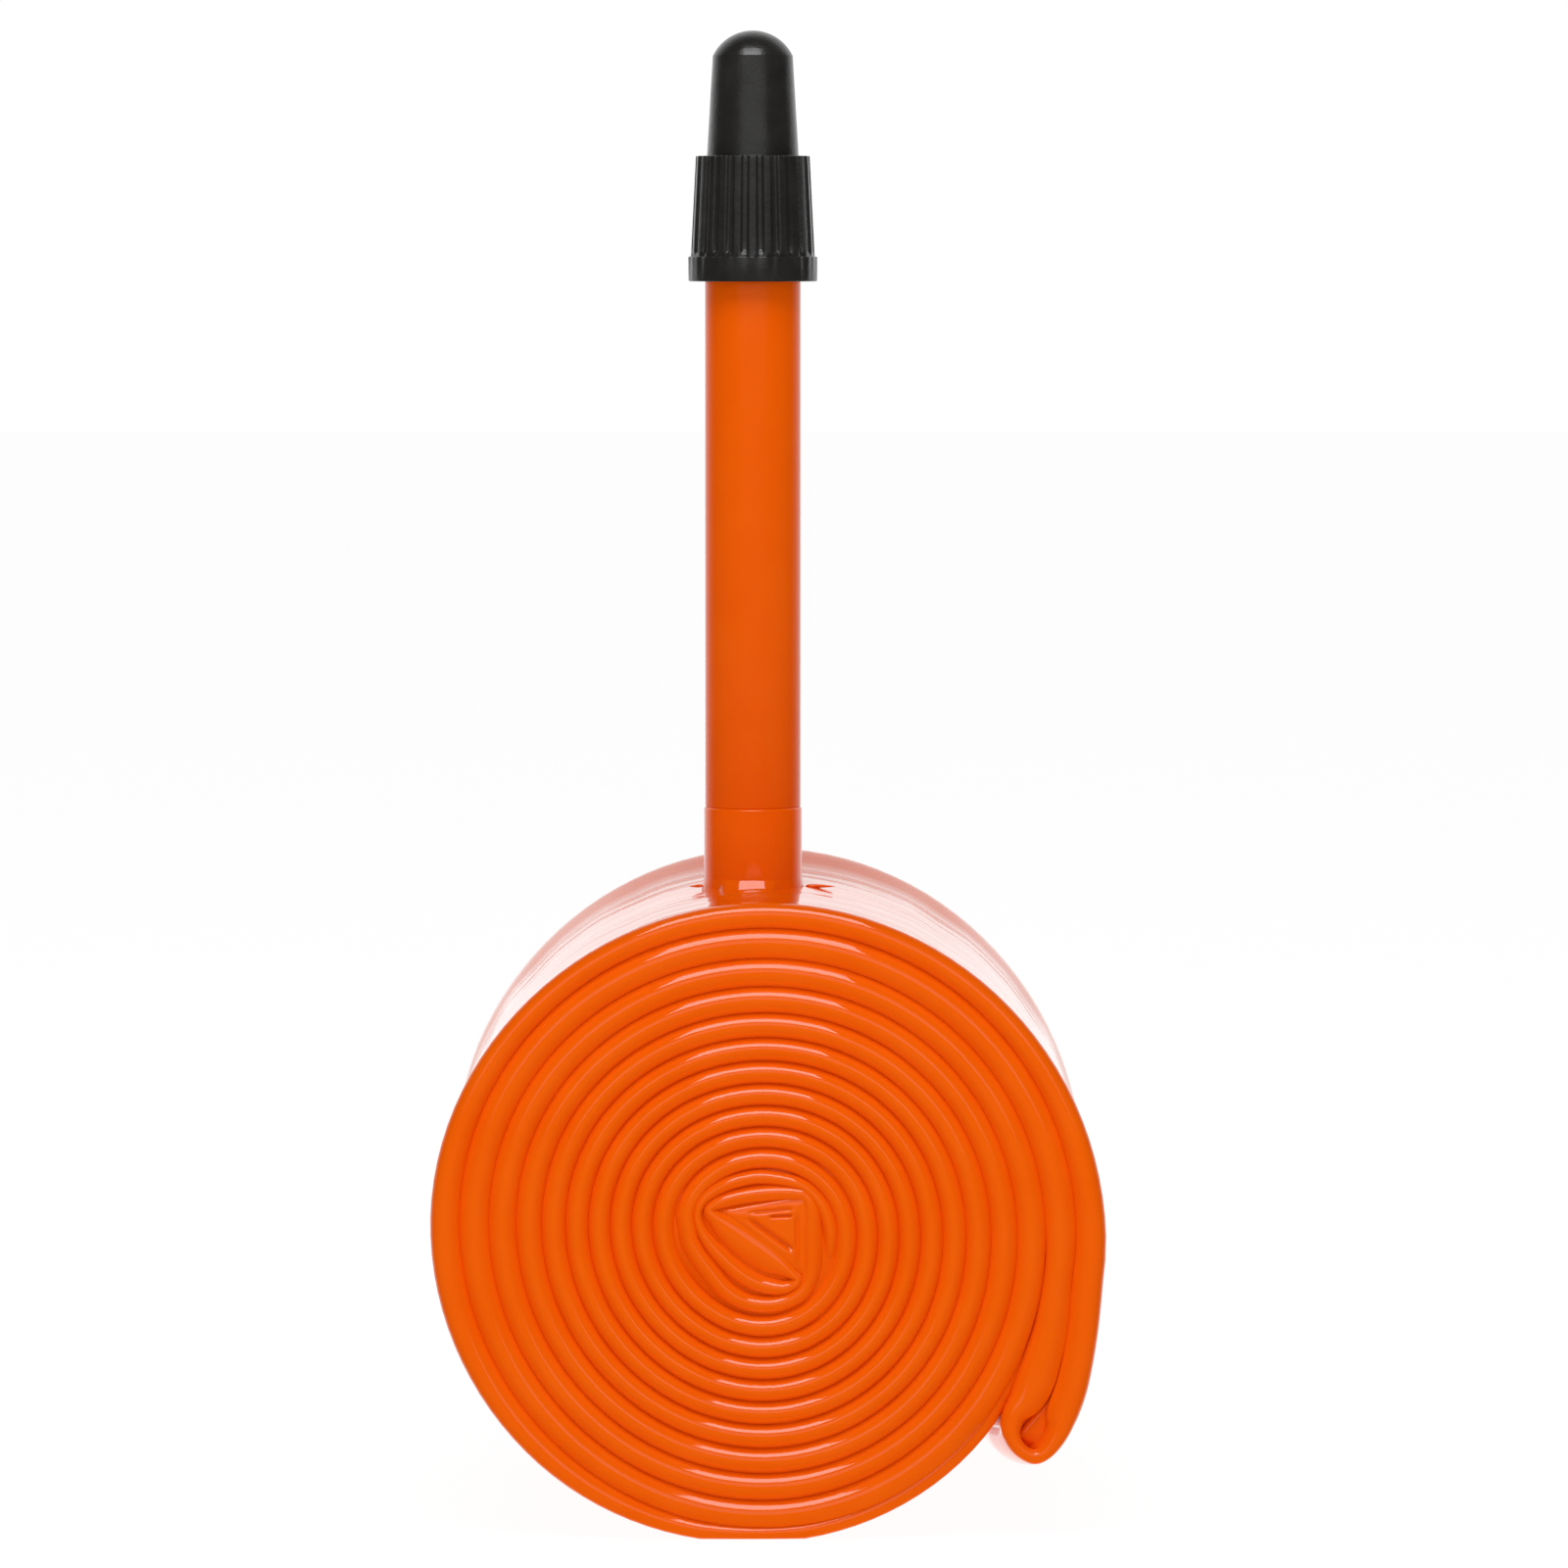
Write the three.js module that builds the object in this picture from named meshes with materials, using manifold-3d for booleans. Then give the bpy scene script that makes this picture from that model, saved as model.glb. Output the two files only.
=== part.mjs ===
// Thermoplastic bicycle inner tube, pressed flat, folded double and rolled up, with its valve.
// Units are millimetres, +Z is up along the valve stem, and the roll's axis lies along Y.
// The origin is on the floor beneath the stem's axis, halfway along the roll.
import * as THREE from 'three';
import { mergeVertices } from 'three/addons/utils/BufferGeometryUtils.js';
import Module from 'manifold-3d';

const wasm = await Module();
wasm.setup();

// ---- Driving dimensions -------------------------------------------------------------------

// Hose: one endless hose, pressed flat and folded double, so two strands are rolled up together
const hoseWidth = 40;            // the flattened hose, and so the length of the roll
const wall = 0.28;               // one wall of the hose; a strand is two walls
const strand = 2 * wall;
const pairTurns = 11.4;          // turns that the pair of strands makes, counted from the rim
const samplesPerTurn = 24;
const rollCentreX = 0.55;
const floorFlattening = 0.25;    // how far the roll's underside is pressed flat where it rests
const slitGap = 0.09;            // between the two strands of a pair
const foldBulge = 1.1;           // how far the outer fold reaches past the ends of its two limbs
const foldSamples = 5;
const foldStart = { rimDegrees: -35, innerDegrees: -38 };

// The roll's slack: its radius beyond what its turns of bare strand need, as a cubic that starts
// from the empty core, and how far it is out of round
const slack = { core: 3.92, slope: -1.37, bow: 0.78, skew: -0.39 };
const outOfRound = { ovalCos: 0.06, ovalSin: -0.1, lobeCos: -0.05, lobeSin: 0.08 };
const evenRadius = 6;            // inside this radius the roll grows steadily rounder

// Outer face of the first strand, as [degrees, height above the pair's edge]; it starts at the
// outer fold, and its last stretch dives under that fold
const rimThickness = [
  [-40, 2.8], [-20, 2.3], [0, 1.83], [45, 1.52], [90, 1.52], [135, 1.47],
  [180, 1.78], [225, 1.6], [270, 0.85], [320, 0.74],
];
// Middle of the second strand beside the outer fold, in the same form
const foldLimb = [[-40, -0.39], [-20, -0.76]];

// Valve foot: a flange welded inside the hose, with a collar that comes out through its wall
const flangeDiameter = 12;
const flangeThickness = 0.5;
const flangeDepth = 1.0;         // below the rims, because the hose sinks between them
const flangeMargin = 1;          // the hose is thickened this far past the flange's edge
const collarSink = 0.8;          // share of the flange's thickness that the collar reaches down
const pocketClearance = 0.1;
const collarStep = 0.075;        // the collar stands this far proud of the stem
const collarRise = 4.53;         // collar's top above the rims
const collarWall = 0.475;

// Stem: a smooth pipe with a spigot in the collar
const stemDiameter = 6;
const stemBore = 4.6;
const stemRise = 39.73;          // stem's top above the rims
const spigotWall = 0.7;
const neckHeight = 2;            // the bore widens this far above the spigot
const neckTaper = 1;
const fitClearance = 0.1;        // between parts that are fastened together

// Valve core, screwed into the top of the stem
const runningClearance = 0.2;    // between parts that turn or slide on each other
const coreShoulderLip = 0.5;     // the shoulder reaches this far over the stem's end
const shoulderThickness = 0.6;
const threadDiameter = 5.2;
const threadPitch = 1.06;
const threadDepth = 0.35;
const threadTurns = 4;
const threadRelief = 0.5;        // plain neck below the first turn
const threadCrest = { from: 0.35, to: 0.6 };   // as shares of the pitch
const coreHeadHeight = 5.4;
const flatsWidth = 4.5;          // across the two flats for a spanner
const coreReach = 16;            // how far the core goes down inside the stem
const coreBore = 2.5;
const coreTip = { inset: 0.3, height: 1 };     // taper at the core's lower end
const gasketSection = 1.5;       // height of the sealing ring
const gasketGroove = 0.4;
const gasketDrop = 5;            // from the shoulder to the ring
const gasketBevel = 0.3;

// Pin, its seal and the lock nut that turns on it
const pinDiameter = 1.6;
const pinHeadDiameter = 2.0;
const pinHeadHeight = 1.2;
const pinHeadBevel = { below: 0.2, above: 0.3, inset: 0.4 };
const pinProjection = 1.9;       // pin's tip above the nut
const pinTravel = 2;
const sealDiameter = 3.4;
const sealHeight = 1.6;
const sealCone = { height: 0.8, lip: 0.1 };    // the seal's upper part narrows to the core's bore
const pinFootThickness = 0.7;
const pinFootInset = 0.3;        // the foot is this much narrower than the seal, all round
const nutDiameter = 4.2;
const nutHeight = 1.8;
const nutKnurls = 12;
const nutKnurlDepth = 0.2;
const nutBevel = 0.25;
const nutSpare = 0.3;            // left between nut and core with the pin pressed right down

// Cap
const capOverlap = 2.3;          // the cap reaches this far down past the stem's end
const capClearance = 0.2;
const capRingHeight = 1.55;
const capRingLip = 0.15;
const capSkirtRise = 0.05;       // the skirt ends this far above the core body
const capSkirtWall = 0.75;
const capThreadClearance = 0.15;
const capThreadWall = 0.9;
const capConeWall = 0.73;
const capConeTaper = 0.28;
const capPinRoom = 0.5;
const capPinClearance = 0.3;     // round the pin's head
const capBoreTaper = 0.3;
const capCrown = 1.35;           // closed end above the pin
const capRibs = 24;
const capRibDepth = 0.22;

// Facets round the turned parts
const footRound = 32;
const coreRound = 24;
const pinRound = 16;

// ---- Materials ----------------------------------------------------------------------------

const finish = (color, roughness, metalness = 0) => (
  new THREE.MeshStandardMaterial({ color, roughness, metalness })
);
const orangeGloss = finish(0xeb5f00, 0.22);
const orangePipe = finish(0xe85a0c, 0.35);
const blackPlastic = finish(0x1d1d1f, 0.45);
const brass = finish(0xb8954a, 0.3, 1);
const blackRubber = finish(0x161616, 0.8);

const part = new THREE.Group();

function addPiece(name, geometry, material) {
  const mesh = new THREE.Mesh(geometry, material);
  mesh.name = name;
  part.add(mesh);
}

// ---- Solids -------------------------------------------------------------------------------

function positionsOnly(geometry) {
  const bare = geometry.clone();
  bare.deleteAttribute('normal');
  bare.deleteAttribute('uv');
  return mergeVertices(bare, 1e-4);
}

function toSolid(geometry) {
  const merged = positionsOnly(geometry);
  return new wasm.Manifold(new wasm.Mesh({
    numProp: 3,
    vertProperties: new Float32Array(merged.attributes.position.array),
    triVerts: new Uint32Array(merged.index.array),
  }));
}

function toGeometry(solid) {
  const mesh = solid.getMesh();
  const geometry = new THREE.BufferGeometry();
  geometry.setAttribute('position', new THREE.Float32BufferAttribute(mesh.vertProperties, 3));
  geometry.setIndex(Array.from(mesh.triVerts));
  return geometry;
}

// Profile of [radius, height] points turned about the Z axis
function turned(profile, segments) {
  const points = profile.map(([radius, height]) => new THREE.Vector2(radius, height));
  return new THREE.LatheGeometry(points, segments).rotateX(Math.PI / 2);
}

// Pushes the vertices in and out in regular ribs between two heights
function ribbed(geometry, ribs, depth, fromHeight, toHeight, outsideRadius) {
  const position = geometry.attributes.position;
  for (let i = 0; i < position.count; i += 1) {
    const [x, y, z] = [position.getX(i), position.getY(i), position.getZ(i)];
    const radius = Math.hypot(x, y);
    if (z < fromHeight || z > toHeight || radius < outsideRadius) continue;
    const phase = (Math.atan2(y, x) / (2 * Math.PI)) * ribs;
    const inRoot = Math.abs(phase - Math.round(phase)) > 0.25 + 1e-6;
    const scale = inRoot ? (radius - depth) / radius : 1;
    position.setXY(i, x * scale, y * scale);
  }
  return geometry;
}

// Section in the X-Z plane carried along Y, centred on y = 0
function alongRoll(outline, holes, length) {
  const shape = new THREE.Shape(outline);
  holes.forEach((hole) => shape.holes.push(new THREE.Path(hole)));
  const extruded = new THREE.ExtrudeGeometry(shape, { depth: length, bevelEnabled: false });
  return extruded.translate(0, 0, -length / 2).rotateX(Math.PI / 2);
}

// ---- The roll -----------------------------------------------------------------------------

// Edge of each turn of the pair, as a radius from the roll's centre; turn 0 is the outermost
function pairEdge(turn) {
  const u = (turn - 5) / 5;
  const angle = 2 * Math.PI * turn;
  const spiral = 2 * strand * (pairTurns - turn)
    + slack.core + slack.slope * u + slack.bow * u ** 2 + slack.skew * u ** 3;
  const oval = outOfRound.ovalCos * u * Math.cos(2 * angle) + outOfRound.ovalSin * Math.sin(2 * angle);
  const lobes = outOfRound.lobeCos * Math.cos(3 * angle) + outOfRound.lobeSin * Math.sin(3 * angle);
  return spiral + Math.min(1, spiral / evenRadius) * (oval + lobes);
}

const pairPitch = (turn) => pairEdge(turn) - pairEdge(turn + 1);

// Smooth curve through [degrees, value] controls
function alongControls(controls, degrees) {
  const last = controls.length - 1;
  if (degrees >= controls[last][0]) return controls[last][1];
  const k = Math.max(0, controls.findIndex(([limit]) => limit > degrees) - 1);
  const [before, from, to, after] = [k - 1, k, k + 1, k + 2].map(
    (index) => controls[THREE.MathUtils.clamp(index, 0, last)][1],
  );
  const t = (degrees - controls[k][0]) / (controls[k + 1][0] - controls[k][0]);
  const slopeIn = (to - before) / 2;
  const slopeOut = (after - from) / 2;
  return (2 * t ** 3 - 3 * t ** 2 + 1) * from + (t ** 3 - 2 * t ** 2 + t) * slopeIn
    + (3 * t ** 2 - 2 * t ** 3) * to + (t ** 3 - t ** 2) * slopeOut;
}

const rimControls = [...rimThickness, [360, strand / 2 - pairPitch(1) / 4]];
const rimFaceRadius = (turn) => pairEdge(turn) + alongControls(rimControls, 360 * turn);
const rollCentre = { x: rollCentreX, z: rimFaceRadius(0.75) - floorFlattening };
const rollTop = rollCentre.z + rimFaceRadius(0.25);

// Radius at which the rim strand's outer face would pass through the floor
function floorRadius(turn) {
  const drop = -Math.sin(2 * Math.PI * turn);
  return drop > 0 ? rollCentre.z / drop : Infinity;
}

// Middle of the strand that makes the rim and then lies outermost in each pair
function rimStrandRadius(turn) {
  if (turn >= 1) return pairEdge(turn) - pairPitch(turn) / 4;
  return Math.min(rimFaceRadius(turn), floorRadius(turn)) - strand / 2;
}

// Middle of the strand that lies innermost in each pair
const limbControls = [...foldLimb, [0, -0.75 * pairPitch(0)]];
function innerStrandRadius(turn) {
  const depth = turn < 0 ? alongControls(limbControls, 360 * turn) : -0.75 * pairPitch(turn);
  return pairEdge(turn) + depth;
}

function rollPoint(turn, radius) {
  const angle = 2 * Math.PI * turn;
  return new THREE.Vector2(
    rollCentre.x + radius * Math.cos(angle),
    rollCentre.z + radius * Math.sin(angle),
  );
}

// Half an ellipse from one strand's end to the other's, past both by the bulge
function foldPoints(from, to, bulge) {
  const middle = from.clone().add(to).multiplyScalar(0.5);
  const across = from.clone().sub(middle);
  const out = new THREE.Vector2(across.y, -across.x).normalize().multiplyScalar(bulge);
  return Array.from({ length: foldSamples }, (_, i) => {
    const angle = (Math.PI * (i + 1)) / (foldSamples + 1);
    return middle.clone()
      .addScaledVector(across, Math.cos(angle))
      .addScaledVector(out, Math.sin(angle));
  });
}

function sampledTurns(fromTurn, toTurn) {
  const first = Math.ceil(fromTurn * samplesPerTurn - 0.5 + 1e-6);
  const last = Math.floor(toTurn * samplesPerTurn - 0.5 - 1e-6);
  const inside = Array.from({ length: last - first + 1 }, (_, i) => (first + i + 0.5) / samplesPerTurn);
  return [fromTurn, ...inside.filter((turn) => turn - fromTurn > 0.01 && toTurn - turn > 0.01), toTurn];
}

// The flange makes the rim strand thicker on its inside, in full over the flange itself
const flangeSpan = (flangeDiameter / 2 + flangeMargin) / rimFaceRadius(0.25);
const padThickness = flangeDepth + flangeThickness + pocketClearance + wall - strand;
function padAt(turn) {
  const fromTop = Math.abs(turn - 0.25) * 2 * Math.PI;
  const full = 1.5 * flangeSpan;   // wide enough that the flange's pocket stays inside it
  const fade = (full + flangeSpan - fromTop) / flangeSpan;
  return padThickness * THREE.MathUtils.clamp(fade, 0, 1);
}

// Nothing squeezes the first turn, so its two strands stay plump up to their shared edge and
// thin down only towards the outer fold
const foldFade = (turn) => THREE.MathUtils.clamp(1 - (360 * turn) / foldStart.rimDegrees, 0, 1);

function rimStrandExtra(turn) {
  if (turn >= 1) return 0;
  const plump = rimStrandRadius(turn) - strand / 2 - pairEdge(turn) - slitGap / 2;
  return Math.max(padAt(turn), plump * foldFade(turn), 0);
}

function innerStrandExtra(turn) {
  const rimInside = rimStrandRadius(turn) - strand / 2 - rimStrandExtra(turn);
  const room = rimInside - slitGap - innerStrandRadius(turn) - strand / 2;
  return Math.max(room * foldFade(turn), 0);
}

// Both faces of the closed loop of strand, as [outer outline, inner outline]
function loopFaces() {
  const rimTurns = sampledTurns(foldStart.rimDegrees / 360, pairTurns);
  const innerTurns = sampledTurns(foldStart.innerDegrees / 360, pairTurns).reverse();
  const rim = rimTurns.map((turn) => rollPoint(turn, rimStrandRadius(turn)));
  const inner = innerTurns.map((turn) => rollPoint(turn, innerStrandRadius(turn)));
  const core = foldPoints(rim[rim.length - 1], inner[0], -strand);
  const outerFold = foldPoints(inner[inner.length - 1], rim[0], -foldBulge);
  const path = [...rim, ...core, ...inner, ...outerFold];
  const extra = [
    ...rimTurns.map(rimStrandExtra), ...core.map(() => 0),
    ...innerTurns.map(innerStrandExtra), ...outerFold.map(() => 0),
  ];
  const faces = [[], []];
  path.forEach((point, i) => {
    const before = path[(i + path.length - 1) % path.length];
    const after = path[(i + 1) % path.length];
    const along = after.clone().sub(before).normalize();
    const normal = new THREE.Vector2(along.y, -along.x);
    faces[0].push(point.clone().addScaledVector(normal, strand / 2));
    faces[1].push(point.clone().addScaledVector(normal, -strand / 2 - extra[i]));
  });
  return faces;
}

// Stretch of the valve's flange, following the rim strand between two depths below its face
function flangeBand(shallow, deep, diameter) {
  const half = 1.2 * flangeSpan / (2 * Math.PI);
  const turns = sampledTurns(0.25 - half, 0.25 + half);
  const at = (turn, depth) => rollPoint(turn, rimStrandRadius(turn) + strand / 2 - depth);
  const outline = [
    ...turns.map((turn) => at(turn, shallow)),
    ...turns.map((turn) => at(turn, deep)).reverse(),
  ];
  const disc = turned(
    [[0, 0], [diameter / 2, 0], [diameter / 2, collarTop], [0, collarTop]],
    footRound,
  );
  return toSolid(alongRoll(outline, [], 2 * diameter)).intersect(toSolid(disc));
}

const collarTop = rollTop + collarRise;
const stemTop = rollTop + stemRise;
const collarDiameter = stemDiameter + 2 * collarStep;
const collarBore = collarDiameter - 2 * collarWall;
const spigotDiameter = collarBore - 2 * fitClearance;
const spigotBore = spigotDiameter - 2 * spigotWall;
const footHeight = rollTop - flangeDepth;
const collarBottom = footHeight - collarSink * flangeThickness;

function ring(bore, diameter, bottom, top) {
  return turned([
    [bore / 2, bottom], [diameter / 2, bottom], [diameter / 2, top], [bore / 2, top], [bore / 2, bottom],
  ], footRound);
}

function rod(diameter, bottom, top) {
  return turned([[0, bottom], [diameter / 2, bottom], [diameter / 2, top], [0, top]], footRound);
}

function hose() {
  const [outer, inner] = loopFaces();
  const roll = toSolid(alongRoll(outer, [inner], hoseWidth));
  const pocket = flangeBand(
    flangeDepth - pocketClearance,
    flangeDepth + flangeThickness + pocketClearance,
    flangeDiameter + 2 * pocketClearance,
  );
  const holeBottom = collarBottom - pocketClearance / 2;
  const collarHole = rod(collarDiameter + 2 * pocketClearance, holeBottom, collarTop);
  return toGeometry(roll.subtract(pocket).subtract(toSolid(collarHole)));
}

function valveBase() {
  const flange = flangeBand(flangeDepth, flangeDepth + flangeThickness, flangeDiameter);
  const collar = toSolid(ring(collarBore, collarDiameter, collarBottom, collarTop));
  const airHole = toSolid(rod(spigotBore, footHeight - 2 * flangeThickness, footHeight + flangeThickness));
  const socket = toSolid(rod(collarBore, footHeight - flangeThickness / 4, collarTop + 1));
  return toGeometry(flange.add(collar).subtract(socket).subtract(airHole));
}

function valveStem() {
  const spigotBottom = footHeight + fitClearance;
  const spigotTop = collarTop + fitClearance;
  const neckTop = spigotTop + neckHeight;
  return turned([
    [spigotBore / 2, spigotBottom],
    [spigotDiameter / 2, spigotBottom],
    [spigotDiameter / 2, spigotTop],
    [stemDiameter / 2, spigotTop],
    [stemDiameter / 2, stemTop],
    [stemBore / 2, stemTop],
    [stemBore / 2, neckTop],
    [spigotBore / 2, neckTop - neckTaper],
    [spigotBore / 2, spigotBottom],
  ], footRound);
}

// ---- Valve core ---------------------------------------------------------------------------

const shoulderBottom = stemTop + fitClearance;
const shoulderTop = shoulderBottom + shoulderThickness;
const coreTop = shoulderBottom + coreHeadHeight;
const coreBottom = stemTop - coreReach;
const coreDiameter = stemBore - 2 * runningClearance;
const grooveTop = shoulderBottom - gasketDrop;
const grooveBottom = grooveTop - gasketSection - 2 * fitClearance;
const grooveDiameter = coreDiameter - 2 * gasketGroove;

function coreBody() {
  const threadRoot = threadDiameter / 2 - threadDepth;
  const threadStart = shoulderTop + threadRelief;
  const thread = [];
  for (let i = 0; i < threadTurns; i += 1) {
    const foot = threadStart + i * threadPitch;
    thread.push([threadRoot, foot], [threadDiameter / 2, foot + threadCrest.from * threadPitch]);
    thread.push([threadDiameter / 2, foot + threadCrest.to * threadPitch]);
  }
  const body = turned([
    [coreBore / 2, coreBottom],
    [coreDiameter / 2 - coreTip.inset, coreBottom],
    [coreDiameter / 2, coreBottom + coreTip.height],
    [coreDiameter / 2, grooveBottom],
    [grooveDiameter / 2, grooveBottom],
    [grooveDiameter / 2, grooveTop],
    [coreDiameter / 2, grooveTop],
    [coreDiameter / 2, shoulderBottom],
    [stemBore / 2 + coreShoulderLip, shoulderBottom],
    [stemBore / 2 + coreShoulderLip, shoulderTop],
    [threadRoot, shoulderTop],
    ...thread,
    [threadRoot, coreTop],
    [coreBore / 2, coreTop],
    [coreBore / 2, coreBottom],
  ], coreRound);
  const headHeight = coreTop - shoulderTop;
  const flat = new THREE.BoxGeometry(threadDiameter, threadDiameter, headHeight + 1);
  const away = flatsWidth / 2 + threadDiameter / 2;
  const middle = shoulderTop + (headHeight + 1) / 2;
  const right = toSolid(flat.clone().translate(away, 0, middle));
  const left = toSolid(flat.clone().translate(-away, 0, middle));
  return toGeometry(toSolid(body).subtract(right).subtract(left));
}

function coreGasket() {
  const bottom = grooveBottom + fitClearance;
  const top = bottom + gasketSection;
  const outer = coreDiameter / 2 + fitClearance;
  const inner = grooveDiameter / 2 + fitClearance;
  return turned([
    [inner, bottom], [outer - gasketBevel / 2, bottom], [outer, bottom + gasketBevel],
    [outer, top - gasketBevel], [outer - gasketBevel / 2, top], [inner, top], [inner, bottom],
  ], coreRound);
}

const sealTop = coreBottom - fitClearance;
const sealBottom = sealTop - sealHeight;
const nutBottom = coreTop + pinTravel + nutSpare;
const nutTop = nutBottom + nutHeight;
const pinTop = nutTop + pinProjection;

function valvePin() {
  const footTop = sealBottom - fitClearance;
  const footBottom = footTop - pinFootThickness;
  return turned([
    [0, footBottom],
    [sealDiameter / 2 - pinFootInset, footBottom],
    [sealDiameter / 2 - pinFootInset, footTop],
    [pinDiameter / 2, footTop],
    [pinDiameter / 2, pinTop - pinHeadHeight],
    [pinHeadDiameter / 2, pinTop - pinHeadHeight + pinHeadBevel.below],
    [pinHeadDiameter / 2, pinTop - pinHeadBevel.above],
    [pinHeadDiameter / 2 - pinHeadBevel.inset, pinTop],
    [0, pinTop],
  ], pinRound);
}

function pinSeal() {
  const inner = pinDiameter / 2 + fitClearance;
  return turned([
    [inner, sealBottom], [sealDiameter / 2, sealBottom], [sealDiameter / 2, sealTop - sealCone.height],
    [coreBore / 2 + sealCone.lip, sealTop], [inner, sealTop], [inner, sealBottom],
  ], pinRound);
}

function lockNut() {
  const inner = pinDiameter / 2 + runningClearance / 2;
  const outer = nutDiameter / 2;
  const nut = turned([
    [inner, nutBottom], [outer - nutBevel, nutBottom], [outer, nutBottom + nutBevel],
    [outer, nutTop - nutBevel], [outer - nutBevel, nutTop], [inner, nutTop], [inner, nutBottom],
  ], 4 * nutKnurls);
  return ribbed(nut, nutKnurls, nutKnurlDepth, nutBottom, nutTop, outer - nutBevel / 2);
}

// ---- Cap ----------------------------------------------------------------------------------

function valveCap() {
  const capBottom = stemTop - capOverlap;
  const stemOrShoulder = Math.max(stemDiameter, stemBore + 2 * coreShoulderLip);
  const skirtBore = stemOrShoulder + 2 * capClearance;
  const coneBore = nutDiameter + 2 * capClearance;
  const threadBore = Math.max(threadDiameter + 2 * capThreadClearance, coneBore);
  const skirtBottomRadius = skirtBore / 2 + capSkirtWall;
  const skirtTopRadius = threadBore / 2 + capThreadWall;
  const coneRadius = coneBore / 2 + capConeWall;
  const crownRadius = coneRadius - capConeTaper;
  const ringTop = capBottom + capRingHeight;
  const skirtTop = coreTop + capSkirtRise;
  const boreTop = pinTop + capPinRoom;
  const top = boreTop + capCrown;
  const shoulderRoom = shoulderTop + capClearance;
  const threadEnd = coreTop + capClearance;
  const nutRoom = nutTop + capClearance;
  const pinRoom = pinHeadDiameter / 2 + capPinClearance;
  const domeStart = top - crownRadius;
  const dome = [1, 2, 3, 4].map((i) => {
    const angle = (i * Math.PI) / 10;
    return [crownRadius * Math.cos(angle), domeStart + crownRadius * Math.sin(angle)];
  });
  const cap = turned([
    [0, boreTop],
    [pinRoom, boreTop],
    [pinRoom, nutRoom + capBoreTaper],
    [coneBore / 2, nutRoom],
    [coneBore / 2, threadEnd],
    [threadBore / 2, threadEnd],
    [threadBore / 2, shoulderRoom],
    [skirtBore / 2, shoulderRoom],
    [skirtBore / 2, capBottom],
    [skirtBottomRadius + capRingLip, capBottom],
    [skirtBottomRadius + capRingLip, ringTop],
    [skirtBottomRadius, ringTop],
    [skirtTopRadius, skirtTop],
    [coneRadius, skirtTop],
    [crownRadius, domeStart],
    ...dome,
    [0, top],
  ], 3 * capRibs);
  const outsideBores = (coneRadius + skirtTopRadius) / 2;
  return ribbed(cap, capRibs, capRibDepth, ringTop - 0.01, skirtTop + 0.01, outsideBores);
}

// ---- Assembly -----------------------------------------------------------------------------

addPiece('hose', hose(), orangeGloss);
addPiece('valve_base', valveBase(), orangeGloss);
addPiece('valve_stem', valveStem(), orangePipe);
addPiece('core_body', coreBody(), brass);
addPiece('core_gasket', coreGasket(), blackRubber);
addPiece('valve_pin', valvePin(), brass);
addPiece('pin_seal', pinSeal(), blackRubber);
addPiece('lock_nut', lockNut(), brass);
addPiece('valve_cap', valveCap(), blackPlastic);

export default part;
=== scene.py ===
import math

import bmesh
import bpy
import numpy as np
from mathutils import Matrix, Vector


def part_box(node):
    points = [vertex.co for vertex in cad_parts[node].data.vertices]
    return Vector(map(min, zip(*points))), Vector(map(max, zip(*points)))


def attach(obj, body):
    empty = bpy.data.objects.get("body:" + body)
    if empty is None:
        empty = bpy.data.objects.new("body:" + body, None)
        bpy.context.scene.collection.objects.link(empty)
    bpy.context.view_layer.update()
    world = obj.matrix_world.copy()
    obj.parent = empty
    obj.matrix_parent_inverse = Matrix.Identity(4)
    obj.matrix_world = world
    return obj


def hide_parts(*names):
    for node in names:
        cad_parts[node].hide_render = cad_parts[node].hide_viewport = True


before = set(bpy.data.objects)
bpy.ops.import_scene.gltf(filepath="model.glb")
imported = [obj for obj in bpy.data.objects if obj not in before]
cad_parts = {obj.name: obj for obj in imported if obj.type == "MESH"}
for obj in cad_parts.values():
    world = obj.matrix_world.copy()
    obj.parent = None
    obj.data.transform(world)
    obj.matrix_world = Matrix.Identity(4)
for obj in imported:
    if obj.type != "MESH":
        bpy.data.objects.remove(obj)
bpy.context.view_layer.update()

# Shapes are worked out in millimetres and turned into metres when their mesh is made.
MM = 0.001
TWO_PI = 2 * math.pi


def node_box(node):
    """Lowest and highest corner of a CAD node, in millimetres."""
    low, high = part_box(node)
    return np.array(low) / MM, np.array(high) / MM


HOSE_HIGH = node_box("hose")[1]
BASE_LOW, BASE_HIGH = node_box("valve_base")
STEM_LOW, STEM_HIGH = node_box("valve_stem")
CORE_LOW, CORE_HIGH = node_box("core_body")
NUT_LOW, NUT_HIGH = node_box("lock_nut")
PIN_LOW, PIN_HIGH = node_box("valve_pin")
CAP_LOW, CAP_HIGH = node_box("valve_cap")


# ---- Camera, lights, floor ------------------------------------------------------------------

def add_camera():
    """Long lens, a little above the middle of the object, looking slightly down."""
    degrees_down = 3.829
    data = bpy.data.cameras.new("camera")
    data.lens = 181.6
    data.sensor_width = 36
    data.clip_start, data.clip_end = 0.01, 20
    camera = bpy.data.objects.new("camera", data)
    bpy.context.scene.collection.objects.link(camera)
    camera.location = (0.00195, -0.496, 0.0779)
    camera.rotation_euler = (math.radians(90 - degrees_down), 0, 0)
    bpy.context.scene.camera = camera


def add_area(name, place, target, size, power, glossy=True):
    """Soft light that shines from place towards target; size is its width and height."""
    data = bpy.data.lights.new(name, "AREA")
    data.shape = "RECTANGLE"
    data.size, data.size_y = size
    data.energy = power
    light = bpy.data.objects.new(name, data)
    bpy.context.scene.collection.objects.link(light)
    light.location = place
    direction = Vector(target) - Vector(place)
    light.rotation_euler = direction.to_track_quat("-Z", "Y").to_euler()
    light.visible_glossy = glossy
    light.visible_camera = False


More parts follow.
